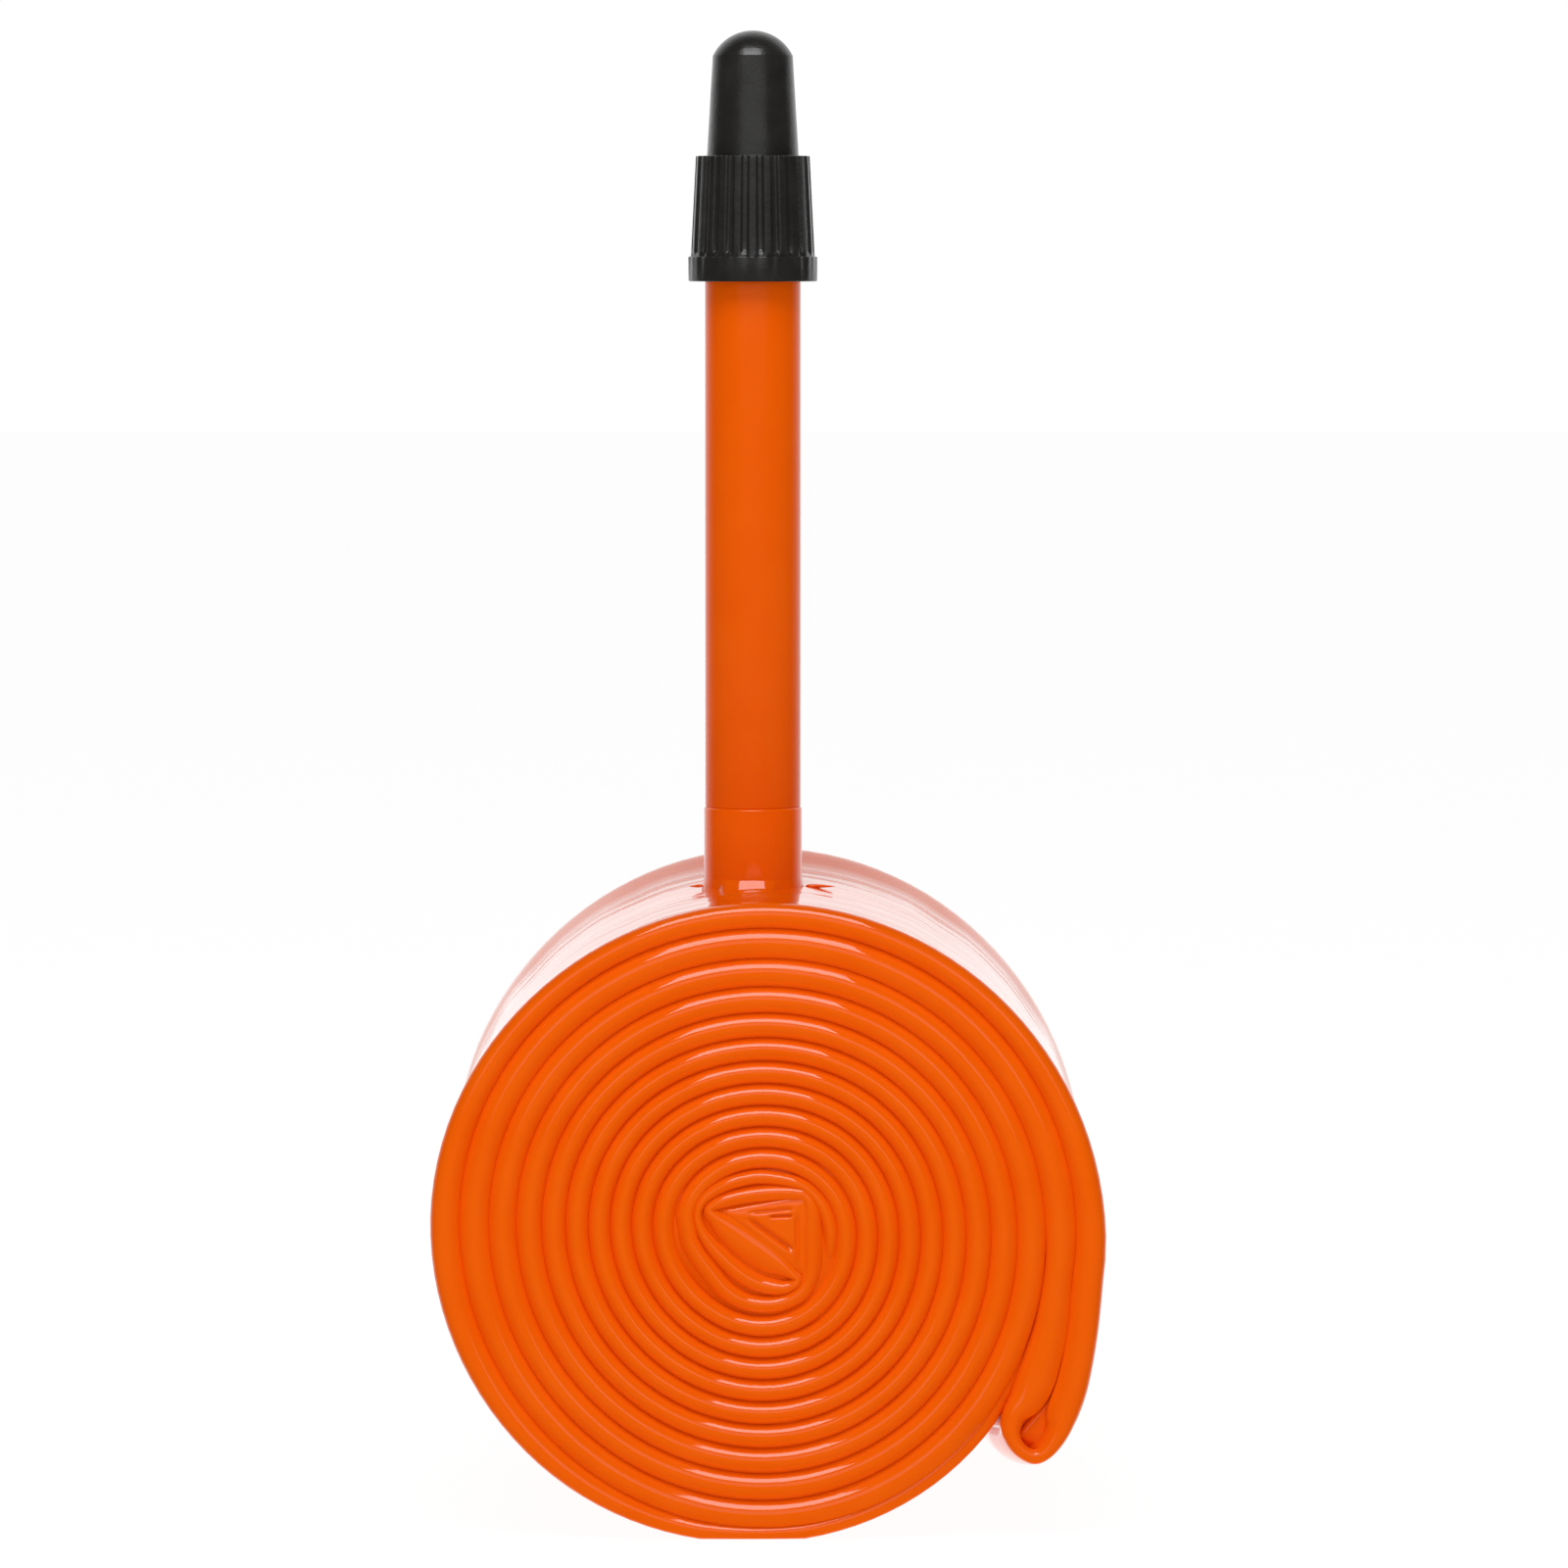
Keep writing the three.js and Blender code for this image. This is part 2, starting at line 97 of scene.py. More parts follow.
def add_world():
    """Dark studio with a white back wall, and a pale panel in front that starts above eye level."""
    seen_by_camera = 1.02
    wall_edge, wall_full, wall_light = 0.2, 0.85, 1.12
    panel_foot, panel_full, panel_light = 0.06, 0.14, 0.75
    darkest = 0.01
    world = bpy.data.worlds.new("studio")
    bpy.context.scene.world = world
    world.use_nodes = True
    nodes, links = world.node_tree.nodes, world.node_tree.links
    nodes.clear()
    coordinates = nodes.new("ShaderNodeTexCoord")
    split = nodes.new("ShaderNodeSeparateXYZ")
    links.new(coordinates.outputs["Generated"], split.inputs["Vector"])

    def fade(axis, start, end, least, most):
        """Light that changes smoothly with a direction's share along an axis."""
        ramp = nodes.new("ShaderNodeMapRange")
        ramp.interpolation_type = "SMOOTHSTEP"
        ramp.inputs["From Min"].default_value = start
        ramp.inputs["From Max"].default_value = end
        ramp.inputs["To Min"].default_value = least
        ramp.inputs["To Max"].default_value = most
        links.new(split.outputs[axis], ramp.inputs["Value"])
        return ramp.outputs["Result"]

    def combine(operation, first, second):
        joined = nodes.new("ShaderNodeMath")
        joined.operation = operation
        links.new(first, joined.inputs[0])
        links.new(second, joined.inputs[1])
        return joined.outputs["Value"]

    back_wall = fade("Y", wall_edge, wall_full, darkest, wall_light)
    panel = combine("MULTIPLY", fade("Z", panel_foot, panel_full, 0, panel_light),
                    fade("Y", -0.7, -0.9, 0, 1))
    ray = nodes.new("ShaderNodeLightPath")
    seen = nodes.new("ShaderNodeMix")
    seen.data_type = "FLOAT"
    seen.inputs[3].default_value = seen_by_camera
    background = nodes.new("ShaderNodeBackground")
    background.inputs["Color"].default_value = (1, 1, 1, 1)
    output = nodes.new("ShaderNodeOutputWorld")
    links.new(ray.outputs["Is Camera Ray"], seen.inputs[0])
    links.new(combine("MAXIMUM", back_wall, panel), seen.inputs[2])
    links.new(seen.outputs[0], background.inputs["Strength"])
    links.new(background.outputs["Background"], output.inputs["Surface"])


def add_floor():
    """Pale paper that gives off most of its own light, just below the part so they never touch."""
    half = 3.0
    drop = 0.00005
    glow = 0.96
    mesh = bpy.data.meshes.new("floor")
    mesh.from_pydata([(-half, -half, 0), (half, -half, 0), (half, half, 0), (-half, half, 0)],
                     [], [(0, 1, 2, 3)])
    floor = bpy.data.objects.new("floor", mesh)
    bpy.context.scene.collection.objects.link(floor)
    floor.location.z = -drop
    material = new_material("floor_paper", (0.08, 0.08, 0.08), 0.9)
    shader = material.node_tree.nodes["Principled BSDF"]
    shader.inputs["Specular IOR Level"].default_value = 0.0
    shader.inputs["Emission Color"].default_value = (1, 1, 1, 1)
    shader.inputs["Emission Strength"].default_value = glow
    mesh.materials.append(material)
    floor.visible_glossy = False


# ---- Materials ------------------------------------------------------------------------------

def new_material(name, colour, roughness):
    """Plain material; mottle and vary_roughness take the place of its colour and roughness."""
    material = bpy.data.materials.new(name)
    material.use_nodes = True
    shader = material.node_tree.nodes["Principled BSDF"]
    shader.inputs["Base Color"].default_value = (*colour, 1)
    shader.inputs["Roughness"].default_value = roughness
    return material


def object_noise(material, scale, stretch=(1, 1, 1), detail=3.0, roughness=0.5):
    """Noise over the piece's own coordinates; scale counts cells per metre."""
    nodes, links = material.node_tree.nodes, material.node_tree.links
    coordinates = nodes.new("ShaderNodeTexCoord")
    mapping = nodes.new("ShaderNodeMapping")
    mapping.inputs["Scale"].default_value = stretch
    noise = nodes.new("ShaderNodeTexNoise")
    noise.inputs["Scale"].default_value = scale
    noise.inputs["Detail"].default_value = detail
    noise.inputs["Roughness"].default_value = roughness
    links.new(coordinates.outputs["Object"], mapping.inputs["Vector"])
    links.new(mapping.outputs["Vector"], noise.inputs["Vector"])
    return noise.outputs["Fac"]


def mottle(material, fac, dark, light, low=0.3, high=0.7):
    """Varies the base colour between two close tones."""
    nodes, links = material.node_tree.nodes, material.node_tree.links
    ramp = nodes.new("ShaderNodeValToRGB")
    ramp.color_ramp.elements[0].position = low
    ramp.color_ramp.elements[0].color = (*dark, 1)
    ramp.color_ramp.elements[1].position = high
    ramp.color_ramp.elements[1].color = (*light, 1)
    links.new(fac, ramp.inputs["Fac"])
    links.new(ramp.outputs["Color"], nodes["Principled BSDF"].inputs["Base Color"])


def vary_roughness(material, fac, least, most):
    """Varies the roughness between two values."""
    nodes, links = material.node_tree.nodes, material.node_tree.links
    spread = nodes.new("ShaderNodeMapRange")
    spread.inputs["From Min"].default_value = 0.3
    spread.inputs["From Max"].default_value = 0.7
    spread.inputs["To Min"].default_value = least
    spread.inputs["To Max"].default_value = most
    links.new(fac, spread.inputs["Value"])
    links.new(spread.outputs["Result"], nodes["Principled BSDF"].inputs["Roughness"])


def add_bump(material, *layers):
    """Layers are (height, distance in metres), stacked from the first to the last."""
    nodes, links = material.node_tree.nodes, material.node_tree.links
    last = None
    for height, distance in layers:
        bump = nodes.new("ShaderNodeBump")
        bump.inputs["Strength"].default_value = 1.0
        bump.inputs["Distance"].default_value = distance
        links.new(height, bump.inputs["Height"])
        if last:
            links.new(last.outputs["Normal"], bump.inputs["Normal"])
        last = bump
    links.new(last.outputs["Normal"], nodes["Principled BSDF"].inputs["Normal"])


def film_material():
    """Glossy orange film of the hose, drawn lengthwise, so faint lines run round the roll."""
    material = new_material("orange_film", (0.92, 0.128, 0.0015), 0.1)
    shader = material.node_tree.nodes["Principled BSDF"]
    shader.inputs["Specular IOR Level"].default_value = 0.5
    mottle(material, object_noise(material, 260), (0.93, 0.118, 0.001), (0.95, 0.128, 0.002))
    vary_roughness(material, object_noise(material, 420), 0.05, 0.08)
    draw_lines = object_noise(material, 90, stretch=(1, 16, 1), detail=2)
    slack = object_noise(material, 130, stretch=(0.4, 1.6, 0.4), detail=1)
    add_bump(material, (draw_lines, 0.00001), (slack, 0.00016))
    return material


def stem_material():
    """Satin orange plastic of the stem, with faint lines along it."""
    material = new_material("orange_plastic", (0.9, 0.12, 0.0015), 0.2)
    shader = material.node_tree.nodes["Principled BSDF"]
    shader.inputs["Specular IOR Level"].default_value = 0.15
    mottle(material, object_noise(material, 300), (0.85, 0.104, 0.0008), (0.87, 0.114, 0.0014))
    vary_roughness(material, object_noise(material, 900), 0.11, 0.16)
    draw_lines = object_noise(material, 900, stretch=(1, 1, 0.03), detail=2)
    add_bump(material, (draw_lines, 0.000001))
    return material


def cap_material():
    """Black moulded plastic with a faint grain."""
    material = new_material("black_plastic", (0.012, 0.011, 0.010), 0.38)
    shader = material.node_tree.nodes["Principled BSDF"]
    shader.inputs["Specular IOR Level"].default_value = 0.5
    mottle(material, object_noise(material, 700), (0.016, 0.015, 0.014), (0.023, 0.022, 0.021))
    vary_roughness(material, object_noise(material, 500), 0.2, 0.28)
    add_bump(material, (object_noise(material, 5200, detail=4), 0.000012),
             (object_noise(material, 1400), 0.00002))
    return material


def brass_material():
    """Turned brass, with fine tool marks round the axis and slight tarnish."""
    material = new_material("turned_brass", (0.62, 0.42, 0.16), 0.28)
    material.node_tree.nodes["Principled BSDF"].inputs["Metallic"].default_value = 1.0
    mottle(material, object_noise(material, 800), (0.50, 0.32, 0.11), (0.66, 0.46, 0.19))
    vary_roughness(material, object_noise(material, 1500), 0.2, 0.38)
    tool_marks = object_noise(material, 500, stretch=(1, 1, 20), detail=2)
    add_bump(material, (tool_marks, 0.000008))
    return material


def rubber_material():
    """Matt black rubber with a fine grain."""
    material = new_material("black_rubber", (0.012, 0.012, 0.012), 0.75)
    mottle(material, object_noise(material, 900), (0.009, 0.009, 0.009), (0.018, 0.018, 0.018))
    vary_roughness(material, object_noise(material, 600), 0.66, 0.85)
    add_bump(material, (object_noise(material, 6000), 0.00001))
    return material


# ---- Mesh helpers ---------------------------------------------------------------------------

def add_piece(name, vertices, faces, material, body, stands_for=()):
    """Makes a smooth mesh of points in millimetres and puts it on its body."""
    mesh = bpy.data.meshes.new(name)
    mesh.from_pydata([tuple(v) for v in np.asarray(vertices) * MM], [], faces)
    mesh.polygons.foreach_set("use_smooth", [True] * len(mesh.polygons))
    mesh.materials.append(material)
    mesh.update()
    piece = bpy.data.objects.new(name, mesh)
    bpy.context.scene.collection.objects.link(piece)
    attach(piece, body)
    if stands_for:
        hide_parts(*stands_for)
    return piece


def sharpen(piece, degrees):
    """Keeps edges that turn more than this crisp, so only gentle bends are smoothed."""
    piece.data.set_sharp_from_angle(angle=math.radians(degrees))


def grid_faces(rows, columns, close_rows=False, close_columns=True):
    """Four-sided faces of a grid of points, which may close on itself either way."""
    faces = []
    for i in range(rows if close_rows else rows - 1):
        for j in range(columns if close_columns else columns - 1):
            a, b = i * columns, ((i + 1) % rows) * columns
            k = (j + 1) % columns
            faces.append((a + j, a + k, b + k, b + j))
    return faces


def rounded(profile, radius, steps=4):
    """Rounds the corners of an open [r, z] profile; a third number is a corner's own radius."""
    most_of_side, sharp = 0.45, 1e-4
    points = [np.array(p[:2], float) for p in profile]
    out = [points[0]]
    for i in range(1, len(points) - 1):
        corner = points[i]
        own = profile[i][2] if len(profile[i]) > 2 else radius
        before, after = points[i - 1] - corner, points[i + 1] - corner
        reach = min(own, most_of_side * np.linalg.norm(before), most_of_side * np.linalg.norm(after))
        if reach < sharp:
            out.append(corner)
            continue
        start = corner + before / np.linalg.norm(before) * reach
        end = corner + after / np.linalg.norm(after) * reach
        for t in np.linspace(0, 1, steps + 1):
            out.append((1 - t) ** 2 * start + 2 * t * (1 - t) * corner + t ** 2 * end)
    out.append(points[-1])
    return np.array(out)


def turned(profile, segments, shape=None):
    """Surface of revolution of a profile that starts and ends on the axis or closes on itself.
    shape(radius, height, angle) may change the radius."""
    profile = np.asarray(profile, float)
    closed = bool(np.allclose(profile[0], profile[-1]))
    if closed:
        profile = profile[:-1]
    angles = np.arange(segments) * TWO_PI / segments
    radius = np.repeat(profile[:, :1], segments, axis=1)
    height = np.repeat(profile[:, 1:], segments, axis=1)
    angle = np.repeat(angles[None, :], len(profile), axis=0)
    if shape is not None:
        radius = np.where(radius > 1e-6, shape(radius, height, angle), radius)
    vertices = np.stack([radius * np.cos(angle), radius * np.sin(angle), height], axis=-1)
    vertices = vertices.reshape(-1, 3)
    faces = grid_faces(len(profile), segments, close_rows=closed)
    return vertices, faces


def turned_piece(name, profile, segments, material, body, stands_for=(), shape=None):
    """Turned surface as a piece of its own."""
    vertices, faces = turned(profile, segments, shape)
    piece = add_piece(name, vertices, faces, material, body, stands_for)
    merge_poles(piece)
    return piece


def merge_poles(piece):
    """Joins the points that lie together on the axis, and turns the faces outwards."""
    shell = bmesh.new()
    shell.from_mesh(piece.data)
    bmesh.ops.remove_doubles(shell, verts=shell.verts, dist=1e-7)
    bmesh.ops.dissolve_degenerate(shell, edges=shell.edges, dist=1e-8)
    bmesh.ops.recalc_face_normals(shell, faces=shell.faces)
    shell.to_mesh(piece.data)
    shell.free()


def smooth(t):
    """Eases from 0 to 1, and stays level outside."""
    t = np.clip(t, 0, 1)
    return t * t * (3 - 2 * t)


def through(controls, places):
    """Smooth curve through (place, value, ...) controls, level beyond the first and last."""
    table = np.array(controls, float)
    at, values = table[:, 0], table[:, 1:]
    places = np.clip(np.atleast_1d(places), at[0], at[-1])
    k = np.clip(np.searchsorted(at, places, side="right") - 1, 0, len(at) - 2)
    t = ((places - at[k]) / (at[k + 1] - at[k]))[:, None]
    before, start, end, after = (values[np.clip(k + i, 0, len(at) - 1)] for i in (-1, 0, 1, 2))
    slope_in, slope_out = (end - before) / 2, (after - start) / 2
    return ((2 * t ** 3 - 3 * t ** 2 + 1) * start + (t ** 3 - 2 * t ** 2 + t) * slope_in
            + (3 * t ** 2 - 2 * t ** 3) * end + (t ** 3 - t ** 2) * slope_out)


# ---- The rolled hose ------------------------------------------------------------------------
# One endless hose, pressed flat and folded double, makes two strands that are rolled up
# together. The rim strand lies outermost in each pair and the inner strand innermost. Each
# turn is placed by its number, counted from the rim; a whole turn is at the right-hand side.

STRAND = 0.56                    # a pressed strand is two walls of the hose
TURNS = 11.4
CENTRE = np.array([0.55, 18.55])
HALF_WIDTH = HOSE_HIGH[1]
CORE_TURN = 9.75                 # the turns are regular down to here
STEPS_PER_TURN = 110
RECESS = 0.9                     # the strands between those that show stay this far back
VALLEY = 0.28                    # half of what such a strand fills, as a share of the pitch
SAG = 0.25                       # the free outer face sinks this far between its two rims
FOOT_SAG = 0.42                  # the same beside the valve, whose foot draws the face in
BACK_SLACK = 0.45                # the outermost turn stands up this much at the back
SKIN = 0.02                      # between the two strands of a pair, where neither shows
TOP_TURN = 0.25                  # where the valve stands

# The roll's radius beyond what its turns of bare strand need, as a cubic in the turn's number,
# and how far it is out of round. Inside the radius EVEN_RADIUS it grows steadily rounder.
SLACK = (3.92, -1.37, 0.78, -0.39)
OVAL = (0.06, -0.1)
LOBES = (-0.05, 0.08)
EVEN_RADIUS = 6

# Stretches of the roll, as the turn where a change starts and the turns that it takes
BURIED = (0.5, 0.55)             # the strands come to lie pressed between their neighbours
WRAPPED = (1.0, 0.15)            # another turn comes to lie over the rim strand
LATE = (8, 1)                    # at the back, the inner strand takes over as the one that shows
PARTED = (0.3, 0.6)              # the two strands share their space in the middle of the roll
SET_BACK = (0.62, 0.45)          # the rim strand draws back behind its neighbours
TAUT = (0.55, 0.4)               # the outer face stops sinking


def pair_edge(turn):
    """Outer edge of each turn of the pair, as a radius from the roll's centre."""
    u = (turn - 5) / 5
    angle = TWO_PI * turn
    spiral = 2 * STRAND * (TURNS - turn) + SLACK[0] + SLACK[1] * u + SLACK[2] * u ** 2 + SLACK[3] * u ** 3
    oval = OVAL[0] * u * np.cos(2 * angle) + OVAL[1] * np.sin(2 * angle)
    lobes = LOBES[0] * np.cos(3 * angle) + LOBES[1] * np.sin(3 * angle)
    return spiral + np.minimum(1, spiral / EVEN_RADIUS) * (oval + lobes)


def pair_pitch(turn):
    """Room that a pair of strands takes."""
    return pair_edge(turn) - pair_edge(turn + 1)


# How far the rim stands out beyond the pair's edge, by degrees from the right-hand side
RIM_STAND = [(-40, 2.8), (-20, 2.3), (0, 1.83), (45, 1.52), (90, 1.52), (135, 1.47), (180, 1.78),
             (225, 1.6), (270, 0.85), (320, 0.72), (336, 0.2), (350, 0.02), (360, 0.02)]


def rim_face(turn):
    """Outer face of the rim strand, pressed flat where the roll rests on the floor."""
    least_drop, far = 0.2, 1e3
    face = pair_edge(turn) + through(RIM_STAND, 360 * turn)[:, 0]
    drop = -np.sin(TWO_PI * turn)
    floor = np.where(drop > least_drop, CENTRE[1] / np.maximum(drop, least_drop), far)
    return np.minimum(face, floor)


def stage_of(turn, stretch):
    """How far a change along the roll has gone, from 0 to 1."""
    start, turns = stretch
    return smooth((turn - start) / turns)


def strand_row(turn, outer, inner):
    """Middle of a strand (x, z) and its half thickness, from its two faces' radii."""
    radius, half = (outer + inner) / 2, (outer - inner) / 2
    angle = TWO_PI * turn
    return np.stack([CENTRE[0] + radius * np.cos(angle), CENTRE[1] + radius * np.sin(angle), half],
                    axis=-1)


def rim_strand(turn):
    """Front, middle and back rows of the rim strand, where its two ends are, and how far they
    are pressed flat."""
    edge, pitch = pair_edge(turn), pair_pitch(turn)
    buried = stage_of(turn, BURIED)
    wrapped = stage_of(turn, WRAPPED)
    late = stage_of(turn, LATE)
    outer = rim_face(turn)
    valley = VALLEY * pitch
    front_outer = outer + valley * wrapped
    back_outer = outer + valley * late + BACK_SLACK * np.exp(-((turn - TOP_TURN) / 0.13) ** 2)
    front_inner = edge - buried * valley
    back_inner = edge - buried * pitch * (1 - late) - late * valley
    middle_inner = edge - 0.5 * pitch * stage_of(turn, PARTED)
    middle_outer = np.maximum(outer - sag_at(turn), middle_inner + 0.45)
    middle_outer = np.where(turn >= 1, np.minimum(middle_outer, edge - SKIN), middle_outer)
    rows = [strand_row(turn, front_outer, front_inner), strand_row(turn, middle_outer, middle_inner),
            strand_row(turn, back_outer, back_inner)]
    unevenness = 1 + 0.25 * np.sin(TWO_PI * turn * 0.37)
    front_end = -HALF_WIDTH + RECESS * unevenness * stage_of(turn, SET_BACK)
    back_end = HALF_WIDTH - RECESS * late
    return rows, front_end, back_end, buried


def inner_strand(turn):
    """The same for the strand that lies innermost in each pair."""
    edge, pitch = pair_edge(turn), pair_pitch(turn)
    buried = stage_of(turn, BURIED) * (1 - stage_of(turn, LATE))
    middle_outer = edge - 0.5 * pitch * stage_of(turn, PARTED) - SKIN
    inner = edge - pitch
    back_outer = edge - pitch * (1 - VALLEY) * buried
    back_inner = inner - pitch * VALLEY * buried
    rows = [strand_row(turn, edge, inner), strand_row(turn, middle_outer, inner + SKIN),
            strand_row(turn, back_outer, back_inner)]
    front_end = np.full_like(turn, -HALF_WIDTH)
    back_end = HALF_WIDTH - RECESS * buried
    return rows, front_end, back_end, np.zeros_like(turn)


def sag_at(turn):
    """How far the outer face sinks in its middle, with a few slack folds round the valve."""
    from_foot = (turn - TOP_TURN) * 360
    foot_spread = 26
    drawn = np.exp(-(from_foot / foot_spread) ** 2)
    folds = 0.05 * np.sin(from_foot * 0.31) + 0.035 * np.sin(from_foot * 0.53 + 1)
    sag = SAG + (FOOT_SAG - SAG) * drawn + folds * (1 - drawn)
    return sag * (1 - stage_of(turn, TAUT))


# The core of the roll, as (x, z, half thickness) from the roll's centre: the rim strand comes
# in round the core, folds, and goes out again as the inner strand.
CORE_RIM_SIDE = [
    (3.45, -3.3, 0.16), (3.98, -2.1, 0.32), (4.25, -0.64, 0.42), (4.13, 0.85, 0.42),
    (3.5, 2.2, 0.4), (2.3, 3.2, 0.4), (0.2, 3.62, 0.44), (-1.3, 3.42, 0.44), (-2.55, 2.95, 0.42),
    (-3.52, 2.2, 0.32), (-3.84, 1.2, 0.24), (-3.42, 0.02, 0.36), (-2.4, -1.22, 0.53),
    (-1.2, -2.3, 0.6), (-0.08, -2.9, 0.57), (1.15, -3.15, 0.48), (1.9, -2.98, 0.34),
]
CORE_FOLD = [(2.25, -2.62, 0.3)]
CORE_INNER_SIDE = [
    (1.85, -2.25, 0.36), (1.35, -1.85, 0.7), (0.55, -1.3, 1.03), (-0.75, -0.4, 1.1),
    (-1.95, 0.5, 0.94), (-2.7, 1.1, 0.62), (-3.15, 1.62, 0.32), (-2.5, 2.08, 0.42),
    (-1.27, 2.42, 0.52), (0.2, 2.62, 0.57), (1.6, 2.66, 0.54), (2.65, 2.5, 0.5), (3.06, 1.7, 0.62),
    (3.08, 0.55, 0.68), (3.08, -0.8, 0.68), (3.05, -2.0, 0.64), (2.6, -3.25, 0.56),
    (1.7, -3.9, 0.53), (0.5, -4.18, 0.55), (-0.9, -4.0, 0.57), (-2.1, -3.3, 0.6),
    (-3.05, -2.2, 0.64), (-3.95, -0.95, 0.62), (-4.5, 0.2, 0.62),
]
CORE_OUT_TURN = 9.46             # where the inner strand's turns become regular

# The outer fold, as (degrees, radius, half thickness) at the front: from the inner strand,
# round the fold and back along the rim strand.
FOLD_INNER_SIDE = [
    (-8, 18.18, 0.88), (-17, 18.44, 1.05), (-23, 18.62, 1.17), (-28, 18.85, 1.22),
    (-31.5, 18.95, 1.06), (-34.6, 18.85, 0.74), (-37.0, 19.12, 0.64),
]
FOLD_ROUND = [(-38.5, 19.6, 0.5), (-39.25, 20.2, 0.44), (-39.3, 20.85, 0.42), (-38.7, 21.42, 0.46)]
FOLD_RIM_SIDE = [
    (-37.3, 21.68, 0.5), (-35.3, 21.74, 0.58), (-32.7, 21.62, 0.72), (-30.0, 21.28, 0.99),
    (-25, 20.97, 0.98), (-17, 20.43, 0.93), (-8, 20.02, 0.95),
]
FOLD_SKEW = 7.6                  # degrees further round that the fold reaches at the back
FOLD_STEPS = 6
FOLD_CLOSES = 20.3               # radius at which the two strands meet inside the fold
CLOSED_FROM, CLOSED_TO = -29, -37.8    # degrees where the fold's middle is closed, behind its
                                       # hollow ends


def path_through(points, steps):
    """Samples a smooth path through points, a number of steps to each stretch between them."""
    places = np.linspace(0, len(points) - 1, steps * (len(points) - 1) + 1)
    return through([(i, *p) for i, p in enumerate(points)], places)


def from_polar(rows):
    """Rows of (degrees, radius, half thickness) as (x, z, half thickness)."""
    degrees, radius, half = np.array(rows).T
    angle = np.radians(degrees)
    return np.stack([CENTRE[0] + radius * np.cos(angle), CENTRE[1] + radius * np.sin(angle), half],
                    axis=-1)


def outer_fold():
    """Rows of the fold at the rim, and how much each place follows the fold's skew."""
    joins = [strand_row(np.array([t]), pair_edge(np.array([t])), pair_edge(np.array([t + 1])))[0]
             for t in (0.06, 0.03, 0.0)]
    rims = [strand_row(np.array([t]), rim_face(np.array([t])), pair_edge(np.array([t])))[0]
            for t in (0.0, 0.03, 0.06)]
    bend = from_polar(FOLD_INNER_SIDE + FOLD_ROUND + FOLD_RIM_SIDE)
    points = np.array([*joins, *bend, *rims])
    front = path_through(points, FOLD_STEPS)
    skip = 2 * FOLD_STEPS + FOLD_STEPS // 2
    front = front[skip:-skip]
    offset = front[:, :2] - CENTRE
    degrees = np.degrees(np.arctan2(offset[:, 1], offset[:, 0]))
    follow = smooth(-degrees / 36)
    radius = np.hypot(*offset.T)
    on_rim = np.arange(len(front)) > np.argmin(degrees)
    inside = radius + np.where(on_rim, -1, 1) * front[:, 2]
    outside = radius + np.where(on_rim, 1, -1) * front[:, 2]
    outside -= np.where(on_rim, FOOT_SAG * (1 - smooth(-degrees / 34)), 0)
    closed = np.where(degrees > CLOSED_TO, FOLD_CLOSES, inside)
    inside = np.where(on_rim, np.minimum(inside, closed), np.maximum(inside, closed))
    inside = np.where(degrees < CLOSED_FROM, inside, radius + np.where(on_rim, -1, 1) * front[:, 2])
    unit = offset / radius[:, None]
    middle = np.column_stack([CENTRE + unit * ((inside + outside) / 2)[:, None],
                              np.abs(outside - inside) / 2])
    ends = np.full(len(front), HALF_WIDTH)
    return [front, middle, front.copy()], -ends, ends, np.zeros(len(front)), follow


def core_fold():
    """Rows of the fold in the core, from the rim strand to the inner strand."""
    steps, trimmed, arriving_rows = 9, 4, 22
    points = np.array(CORE_RIM_SIDE + CORE_FOLD + CORE_INNER_SIDE)
    rows = path_through(points, steps)
    rows[:, :2] += CENTRE
    rows = rows[trimmed:-trimmed]
    middle = rows.copy()
    arriving = 1 - smooth(np.arange(len(rows)) / arriving_rows)
    end = HALF_WIDTH - RECESS * arriving
    return [rows, middle, rows.copy()], -end, end, arriving


def hose_path():
    """The whole closed loop: its rows (place, sample, x-z-half), and for each sample its two
    ends, how flat they are, how far it follows the fold's skew, and how free its face is."""
    step = 1 / STEPS_PER_TURN
    inward = np.arange(0, CORE_TURN, step)
    outward = np.arange(0, CORE_OUT_TURN, step)[::-1]
    rim, core, inner = rim_strand(inward), core_fold(), inner_strand(outward)
    *fold, follow = outer_fold()
    stretches = [rim, core, inner, fold]
    rows = np.stack([np.concatenate([s[0][k] for s in stretches]) for k in range(3)])
    front_end = np.concatenate([s[1] for s in stretches])
    back_end = np.concatenate([s[2] for s in stretches])
    flat = np.concatenate([s[3] for s in stretches])
    skew = np.concatenate([np.zeros(len(s[1])) for s in stretches[:3]] + [follow])
    free = np.concatenate([1 - smooth((inward - 0.7) / 0.3), np.zeros(len(core[1]) + len(outward)),
                           follow > -1])
    return rows, front_end, back_end, flat, skew, free


NOSE_PLACES = np.sin(np.linspace(-1, 1, 13) * math.pi / 2)      # across an end, from face to face
FACE_REACH = np.array([0.45, 1.0, 1.7, 2.5, 3.4, 4.6, 7.0, 10.5, 14.0, 17.0])
RIM_REACH = 4.2                  # the ends' plump shape fades into the faces over this distance
NOSE_DEPTH = 0.98                # a pressed end's depth as a share of its half thickness
WIDEST_NOSE = 0.62               # ends thicker than this stay flatter in the middle
FREE_DEPTH = 0.85                # the same for the side of an end that nothing presses
ELLIPSE = 0.97                   # how much of a quarter ellipse a free end uses
ELLIPSE_DEPTH = 0.827            # that stretch's depth, which brings its end to 1
SKEW_REACH = 11                  # the outer fold's skew comes on over this distance


